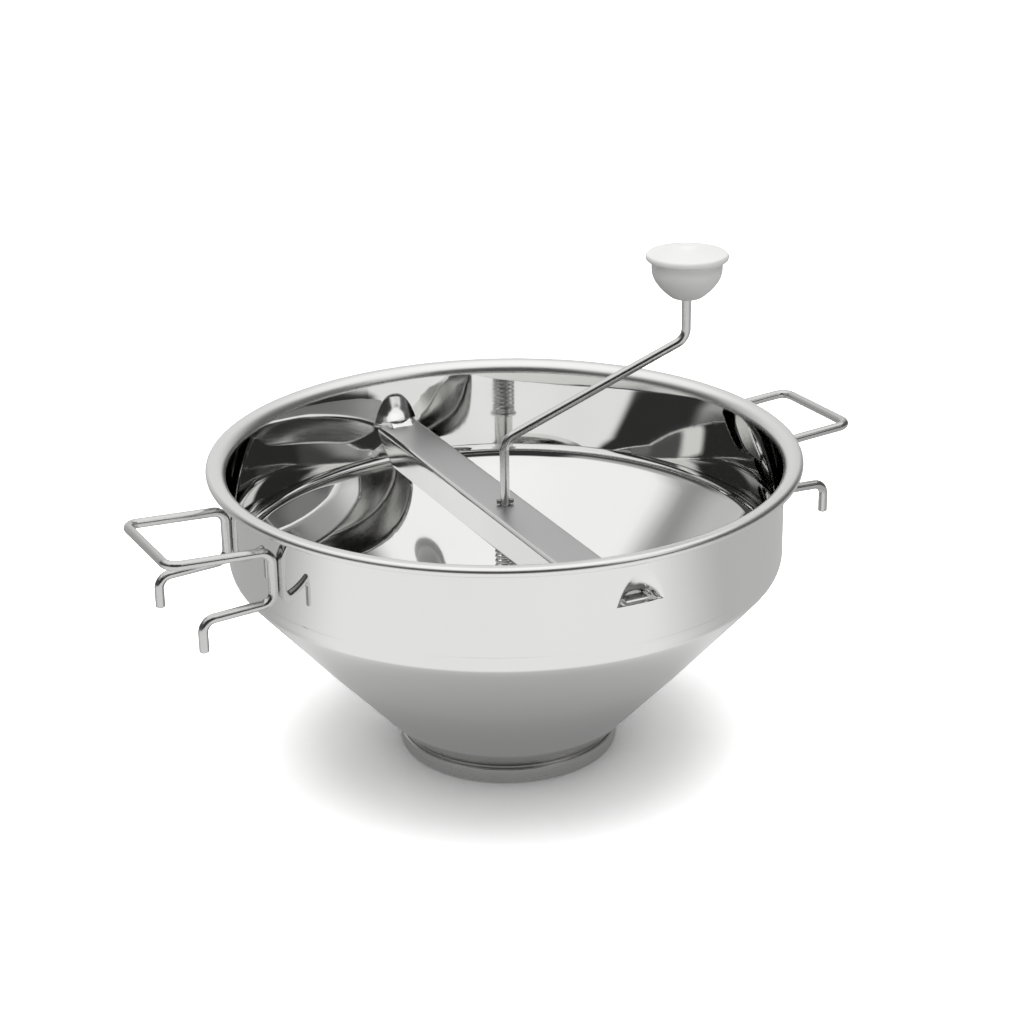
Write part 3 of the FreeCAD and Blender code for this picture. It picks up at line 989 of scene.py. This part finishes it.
def blend_colour(tree, factor, first, second):
    """Colour between two colours, by a factor socket."""
    mix = tree.nodes.new("ShaderNodeMix")
    mix.data_type = "RGBA"
    # the node has other sockets for numbers and vectors
    feed(tree, factor, mix.inputs[0])
    feed(tree, first, mix.inputs[6])
    feed(tree, second, mix.inputs[7])
    return mix.outputs[2]


def operate(tree, kind, operation, *values):
    """Outputs of a math node whose inputs are sockets or numbers."""
    node = tree.nodes.new(kind)
    node.operation = operation
    for socket, value in zip(node.inputs, values):
        feed(tree, value, socket)
    return node.outputs


def stretched(tree, place, scale):
    """The coordinates times a scale along each axis."""
    mapping = tree.nodes.new("ShaderNodeMapping")
    mapping.inputs["Scale"].default_value = scale
    feed(tree, place, mapping.inputs["Vector"])
    return mapping.outputs[0]


def round_axis(tree, place):
    """Coordinates that stretch a texture round the bowl's axis, like marks from polishing on a lathe."""
    flat = stretched(tree, place, (1.0, 1.0, 0.0))
    radius = operate(tree, "ShaderNodeVectorMath", "LENGTH", flat)["Value"]
    outward = add(tree, "ShaderNodeCombineXYZ", X=radius)[0]
    slow = stretched(tree, place, (0.02, 0.02, 1.0))
    return operate(tree, "ShaderNodeVectorMath", "ADD", outward, slow)["Vector"]


def steel(name, colour, smooth, rough, marks="round", mark_depth=0.15, wave=0.03):
    """Steel with fine polishing marks, faint waves in the sheet and smears that dull it in places.

    marks is "round" for marks round the axis, "long" for marks along Y and "even" for no direction.
    wave is the height of the waves in mm.
    """
    material = new_material(name)
    tree = material.node_tree
    place = coordinates(tree)
    direction = place
    if marks == "round":
        direction = round_axis(tree, place)
    if marks == "long":
        direction = stretched(tree, place, (1.0, 0.03, 1.0))
    smears = noise(tree, place, Scale=14.0, Detail=4.0, Roughness=0.6, Distortion=0.6)
    grain = noise(tree, direction, Scale=1400.0, Detail=2.0)
    waves = noise(tree, place, Scale=26.0, Detail=1.0)

    dull = ranged(tree, smears, From_Min=0.42, From_Max=0.72, To_Min=smooth, To_Max=rough)
    fine = ranged(tree, grain, From_Min=0.3, From_Max=0.7, To_Min=0.8, To_Max=1.25)
    roughness = operate(tree, "ShaderNodeMath", "MULTIPLY", dull, fine)["Value"]
    tone = blend_colour(tree, smears, colour, tuple(c * SMEAR_SHADE for c in colour))
    sheet_waves = bumped(tree, waves, Strength=1.0, Distance=wave * MM)
    scratches = bumped(tree, grain, Strength=mark_depth, Distance=0.003 * MM, Normal=sheet_waves)
    shader = tree.nodes["Principled BSDF"]
    set_inputs(tree, shader, Metallic=1.0, Base_Color=tone, Roughness=roughness, Normal=scratches)
    return material


def dull_where(material, mask, colour, roughness):
    """Gives a steel a rougher finish and the given tone where the mask socket is 1."""
    tree = material.node_tree
    shader = tree.nodes["Principled BSDF"]
    polished_tone = shader.inputs["Base Color"].links[0].from_socket
    polished_roughness = shader.inputs["Roughness"].links[0].from_socket
    tone = blend_colour(tree, mask, polished_tone, colour)
    dull = ranged(tree, mask, To_Min=polished_roughness, To_Max=roughness)
    set_inputs(tree, shader, Base_Color=tone, Roughness=dull)


def dull_hoods(material, colour, roughness):
    """Matt marks that the press leaves on the hoods."""
    pressed = material.node_tree.nodes.new("ShaderNodeAttribute")
    pressed.attribute_name = "pressed"
    dull_where(material, pressed.outputs["Fac"], colour, roughness)


def dull_by_height(material, start, end, colour, roughness):
    """Rougher finish and a tone that come in from one height to another, in mm."""
    tree = material.node_tree
    reach = ranged(tree, upward(tree), From_Min=start * MM, From_Max=end * MM)
    dull_where(material, reach, colour, roughness)


def brush_and_shade_top(material, colour, roughness):
    """Faces that look up are brushed after polishing, and darkened with a painted shade."""
    tree = material.node_tree
    top = ranged(tree, upward(tree, "Normal"), From_Min=0.9, From_Max=0.99)
    dull_where(material, top, colour, roughness)


def bowl_steel():
    """Polished steel, rougher on the hoods, on the rolled rim and at the neck, and darker towards the neck.
    """
    material = steel("polished_steel", STEEL_TONE, smooth=0.02, rough=0.05)
    dull_hoods(material, STEEL_TONE, HOOD_ROUGHNESS)
    bead_bottom = RIM_HEIGHT - 2 * BEAD_RADIUS
    dull_by_height(material, bead_bottom - RIM_FADE, bead_bottom, STEEL_TONE, RIM_ROUGHNESS)
    neck_start = NECK_HEIGHT + NECK_FADE_START
    dull_by_height(material, neck_start, NECK_HEIGHT + NECK_FADE_END, NECK_TONE, NECK_ROUGHNESS)
    return material


def foot_steel():
    """Dull steel of the foot ring."""
    return steel("foot_steel", FOOT_TONE, smooth=0.28, rough=0.40, mark_depth=0.1, wave=0.006)


def bar_steel():
    """Steel with marks along the crossbar, brushed on top and darker there as a painted shade."""
    material = steel("brushed_steel", STEEL_TONE, smooth=0.12, rough=0.2, marks="long", mark_depth=0.4)
    brush_and_shade_top(material, BAR_TOP_PAINTED_SHADE, BAR_TOP_ROUGHNESS)
    return material


def wire_steel():
    """Steel of the bent wires and rods."""
    return steel("wire_steel", WIRE_TONE, smooth=0.18, rough=0.26, marks="even", mark_depth=0.3, wave=0.01)


def satin_steel():
    """Steel of the small pieces, the sieve and the blade."""
    return steel("satin_steel", WIRE_TONE, smooth=0.18, rough=0.30, mark_depth=0.5, wave=0.01)


def pin_steel():
    """Dark steel of the pin over the crossbar; its darkness is partly a painted shadow at the shaft's hole.
    """
    return steel("pin_steel", PIN_TONE_AND_SHADE, smooth=0.15, rough=0.25, marks="even", mark_depth=0.3, wave=0.0)


def plastic():
    """Moulded plastic, faintly uneven in tone and gloss, with an orange-peel surface."""
    material = new_material("white_plastic")
    tree = material.node_tree
    place = coordinates(tree)
    clouds = noise(tree, place, Scale=60.0, Detail=4.0, Roughness=0.55)
    tone = blend_colour(tree, clouds, PLASTIC_TONE, PLASTIC_SHADE)
    dull = ranged(tree, clouds, From_Min=0.35, From_Max=0.65, To_Min=0.34, To_Max=0.42)
    peel = noise(tree, place, Scale=700.0, Detail=2.0)
    skin = bumped(tree, peel, Strength=0.12, Distance=0.05 * MM)
    set_inputs(tree, tree.nodes["Principled BSDF"], Base_Color=tone, Roughness=dull, Normal=skin)
    return material


def dress(obj, material):
    """Gives an object its only material."""
    obj.data.materials.clear()
    obj.data.materials.append(material)


def dress_cad(node, material):
    """Gives a CAD node that is shown as it is its material."""
    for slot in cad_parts[node].material_slots:
        slot.material = material


# Stage


def stage_mesh(name, vertices, faces, material):
    """Object in metres that isn't part of the mill."""
    mesh = bpy.data.meshes.new(name)
    mesh.from_pydata(vertices, [], faces)
    obj = linked(name, mesh)
    dress(obj, material)
    return obj


def painted_material(name):
    """Material that glows in the tones that paint stores, and its emission shader."""
    material = new_material(name)
    tree = material.node_tree
    tree.nodes.clear()
    painted = tree.nodes.new("ShaderNodeVertexColor")
    painted.layer_name = "glow"
    glow = tree.nodes.new("ShaderNodeEmission")
    set_inputs(tree, glow, Color=painted.outputs["Color"])
    add(tree, "ShaderNodeOutputMaterial", Surface=glow.outputs["Emission"])
    return material, glow


def paint(obj, tones):
    """Stores a grey tone per vertex for a painted material."""
    colours = obj.data.color_attributes.new("glow", "FLOAT_COLOR", "POINT")
    colours.data.foreach_set("color", [c for tone in tones for c in (tone, tone, tone, 1.0)])


def polar_grid(rings, count):
    """Vertices and faces of rings of (radius, height), from the first ring to the last."""
    vertices = []
    for radius, height in rings:
        for index in range(count):
            angle = 2 * math.pi * index / count
            vertices.append((radius * math.sin(angle), radius * math.cos(angle), height))
    return vertices, ring_faces(len(rings), count)


def from_camera(tree):
    """1 for a ray from the camera, 0 for others."""
    return add(tree, "ShaderNodeLightPath")["Is Camera Ray"]


def only_mirrored(tree):
    """1 for a ray that comes straight from metal or glass, 0 for others and after any matt surface."""
    path = add(tree, "ShaderNodeLightPath")
    clear = operate(tree, "ShaderNodeMath", "LESS_THAN", path["Diffuse Depth"], 0.5)["Value"]
    through = (path["Is Glossy Ray"], path["Is Transmission Ray"])
    either = operate(tree, "ShaderNodeMath", "MAXIMUM", *through)["Value"]
    return operate(tree, "ShaderNodeMath", "MULTIPLY", clear, either)["Value"]


def band(angle, start, end, soft):
    """1 where angle is from start to end degrees, going up, with soft edges."""
    middle = (start + end) / 2
    half = (end - start) / 2
    off = abs((angle - middle + 180) % 360 - 180)
    return 1 - between(off, half - soft / 2, half + soft / 2)


def floor_glow_with_painted_shadow(azimuth, radius):
    """Brightness of the floor in the metal, radius mm from its axis, with a painted shadow of the mill."""
    # painted shadow of the mill, darkest under the foot
    shade = UNDER_FOOT_GLOW
    shade += UNDER_CONE_GLOW * between(radius, *UNDER_CONE)
    shade += PAST_RIM_GLOW * between(radius, *PAST_RIM)
    # painted falloff of light: full on the camera's side, darker to the sides and behind
    sides = mixed(SIDE_FLOOR_GLOW, RIGHT_FLOOR_GLOW, band(azimuth, *RIGHT_FLOOR))
    lit = mixed(sides, 1.0, band(azimuth, *FRONT_FLOOR))
    return FLOOR_GLOW * shade * mixed(1.0, lit, between(radius, *FLOOR_AROUND))


def studio_glow(azimuth, elevation):
    """Brightness of the studio. Azimuth 0 is +Y and 90 is +X, in degrees."""
    right_panel = band(azimuth, *RIGHT_PANEL) * between(elevation, *RIGHT_PANEL_RISE)
    front_panel = band(azimuth, *FRONT_PANEL) * between(elevation, *FRONT_PANEL_RISE)
    backdrop = mixed(BACKDROP_GLOW, BACKDROP_MIDDLE_GLOW, band(azimuth, *BACKDROP_MIDDLE))
    left = mixed(LEFT_LOW_GLOW, LEFT_HIGH_GLOW, between(elevation, *LEFT_RISE))
    softbox = mixed(SOFTBOX_GLOW, SOFTBOX_TOP_GLOW, between(elevation, *SOFTBOX_TOP_RISE))
    softbox_start = mixed(SOFTBOX_START, SOFTBOX_HIGH_START, band(azimuth, *SOFTBOX_HIGH))
    glow = mixed(ROOM_GLOW, RIGHT_PANEL_GLOW, right_panel)
    glow = mixed(glow, backdrop, band(azimuth, *BACKDROP))
    glow = mixed(glow, left, band(azimuth, *LEFT))
    glow = mixed(glow, CAMERA_SIDE_GLOW, band(azimuth, *CAMERA_SIDE))
    glow = mixed(glow, FRONT_PANEL_GLOW, front_panel)
    return mixed(glow, softbox, between(elevation, softbox_start, softbox_start + SOFTBOX_SOFTNESS))


def make_floor():
    """Pale floor: white with painted light and the mill's shadow to the camera, a painted shadow to metal."""
    material, glow = painted_material("floor")
    tree = material.node_tree
    distance = operate(tree, "ShaderNodeVectorMath", "LENGTH", coordinates(tree))["Value"]
    near = {"From_Min": NEAR_FLOOR, "To_Min": NEAR_FLOOR_TONE}
    far = {"From_Max": FAR_FLOOR, "To_Max": FAR_FLOOR_TONE}
    # painted light for the camera: a floor tone over 1 that rises with distance
    painted_brightness = ranged(tree, distance, **near, **far)
    tone = blend_colour(tree, from_camera(tree), (FLOOR_TONE, FLOOR_TONE, FLOOR_TONE), painted_brightness)
    paper = add(tree, "ShaderNodeBsdfDiffuse", Color=tone)["BSDF"]
    choice = tree.nodes.new("ShaderNodeMixShader")
    for socket, value in zip(choice.inputs, (only_mirrored(tree), paper, glow.outputs["Emission"])):
        feed(tree, value, socket)
    set_inputs(tree, tree.nodes["Material Output"], Surface=choice.outputs[0])
    # rings every 2 mm where the painted shadow changes, and wider ones beyond
    radii = [0.002 * index for index in range(151)] + [0.35, 0.45, 0.6, 0.9, 1.4, 4.0]
    vertices, faces = polar_grid([(r, 0.0) for r in radii], 120)
    floor = stage_mesh("floor", vertices, faces, material)
    paint(floor, [floor_glow_with_painted_shadow(math.degrees(math.atan2(x, y)), math.hypot(x, y) / MM) for x, y, z in vertices])


def make_studio():
    """Dome round the table that only reflections see.

    It is pale behind the mill, dark at the camera and white above. What is higher than the lamps also
    lights matt surfaces by way of the metal.
    """
    material, glow = painted_material("studio")
    tree = material.node_tree
    overhead = ranged(tree, upward(tree), From_Min=LAMP_HEIGHT, From_Max=LAMP_HEIGHT + 0.1)
    lit = operate(tree, "ShaderNodeMath", "MAXIMUM", only_mirrored(tree), overhead)["Value"]
    set_inputs(tree, glow, Strength=lit)
    elevations = list(range(-2, 91, 2))
    slopes = [math.radians(elevation) for elevation in elevations]
    rings = [(math.cos(slope) * STUDIO_RADIUS, math.sin(slope) * STUDIO_RADIUS) for slope in slopes]
    count = 180
    vertices, faces = polar_grid(rings, count)
    dome = stage_mesh("studio", vertices, faces, material)
    paint(dome, [studio_glow(index * 360 / count, e) for e in elevations for index in range(count)])
    dome.visible_camera = False
    dome.visible_diffuse = False
    dome.visible_shadow = False


def make_lamp(name, place, aim, radius, glow):
    """Round lamp that shines towards a point, left out of reflections. glow is 1 for white."""
    data = bpy.data.lights.new(name, "AREA")
    data.shape = "DISK"
    data.size = 2 * radius
    data.energy = glow * (math.pi * radius) ** 2
    lamp = linked(name, data)
    lamp.location = place
    lamp.rotation_euler = (Vector(aim) - Vector(place)).to_track_quat("-Z", "Y").to_euler()
    lamp.visible_glossy = False
    lamp.visible_camera = False


def make_world():
    """White where the camera, metal or glass looks, and a plain fill for everything else."""
    world = bpy.data.worlds.new("studio")
    bpy.context.scene.world = world
    world.use_nodes = True
    tree = world.node_tree
    seen = operate(tree, "ShaderNodeMath", "MAXIMUM", from_camera(tree), only_mirrored(tree))["Value"]
    strength = ranged(tree, seen, To_Min=FILL_GLOW, To_Max=1.0)
    set_inputs(tree, tree.nodes["Background"], Color=(1, 1, 1), Strength=strength)


def make_camera():
    """Camera at the photograph's angle."""
    azimuth, elevation, roll = (math.radians(a) for a in (CAMERA_AZIMUTH, CAMERA_ELEVATION, CAMERA_ROLL))
    level = math.cos(elevation)
    back = Vector((math.sin(azimuth) * level, -math.cos(azimuth) * level, math.sin(elevation)))
    right = Vector((math.cos(azimuth), math.sin(azimuth), 0))
    up = back.cross(right)
    aim = Vector((0, 0, CAMERA_AIM_HEIGHT)) + right * CAMERA_AIM_SIDE
    across = right * math.cos(roll) + up * math.sin(roll)
    upright = up * math.cos(roll) - right * math.sin(roll)
    data = bpy.data.cameras.new("camera")
    data.lens = CAMERA_LENS
    data.sensor_width = 36.0
    camera = linked("camera", data)
    place = Matrix((across, upright, back)).transposed().to_4x4()
    place.translation = aim + back * CAMERA_DISTANCE
    camera.matrix_world = place
    bpy.context.scene.camera = camera


def make_stage():
    """Everything that isn't part of the mill."""
    make_camera()
    make_world()
    make_floor()
    make_studio()
    above = (0, 0, LAMP_HEIGHT)
    make_lamp("wide_lamp", above, (0, 0, 0), WIDE_LAMP_RADIUS, WIDE_LAMP_GLOW)
    make_lamp("overhead_lamp", above, (0, 0, 0), OVERHEAD_LAMP_RADIUS, OVERHEAD_LAMP_GLOW)
    make_lamp("front_lamp", FRONT_LAMP_PLACE, FRONT_LAMP_AIM, FRONT_LAMP_RADIUS, FRONT_LAMP_GLOW)
    bpy.context.scene.view_settings.view_transform = "Standard"


# Assembly


def install(piece, material, body, node):
    """Gives a piece its material and body, and puts it in place of a CAD node."""
    dress(piece, material)
    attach(piece, body)
    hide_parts(node)
    return piece


def build_mill():
    """Materials and pieces of the mill."""
    polished = bowl_steel()
    wire = wire_steel()
    satin = satin_steel()
    white = plastic()
    install(make_bowl(), polished, "bowl", "bowl")
    install(make_foot_ring(), foot_steel(), "bowl", "foot_ring")
    install(make_handle("wire_handle_right", 1), wire, "bowl", "handle_right")
    install(make_handle("wire_handle_left", -1), wire, "bowl", "handle_left")
    install(make_bushing(), satin, "bowl", "sieve_bushing")
    install(make_crossbar(), bar_steel(), "crossbar", "crossbar")
    install(make_crank(), wire, "crank", "crank_rod")
    install(make_blade(), satin, "crank", "blade")
    install(make_knob_grip(), white, "knob", "knob_body")
    install(make_knob_cap(), white, "knob", "knob_cap")
    bar_pin = make_cross_pin("crank_stop_pin", BAR_PIN_HEIGHT, BAR_PIN_LENGTH)
    install(bar_pin, pin_steel(), "crank", "bar_pin")
    drive_pin = make_cross_pin("sleeve_drive_pin", DRIVE_PIN_HEIGHT, DRIVE_PIN_LENGTH)
    install(drive_pin, satin, "crank", "drive_pin")
    install(make_sleeve(), satin, "crank", "blade_sleeve")
    install(make_spring_seat(), satin, "crank", "spring_seat")
    install(make_bar_washer(), satin, "crossbar", "spring_washer")
    spring = install(make_spring(), satin, "crank", "spring")
    squash_spring(spring)
    dress_cad("sieve_disc", satin)
    dress_cad("knob_retainer", satin)


def squash_spring(spring):
    """Gives the spring a mesh of its own."""
    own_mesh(spring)


make_stage()
build_mill()
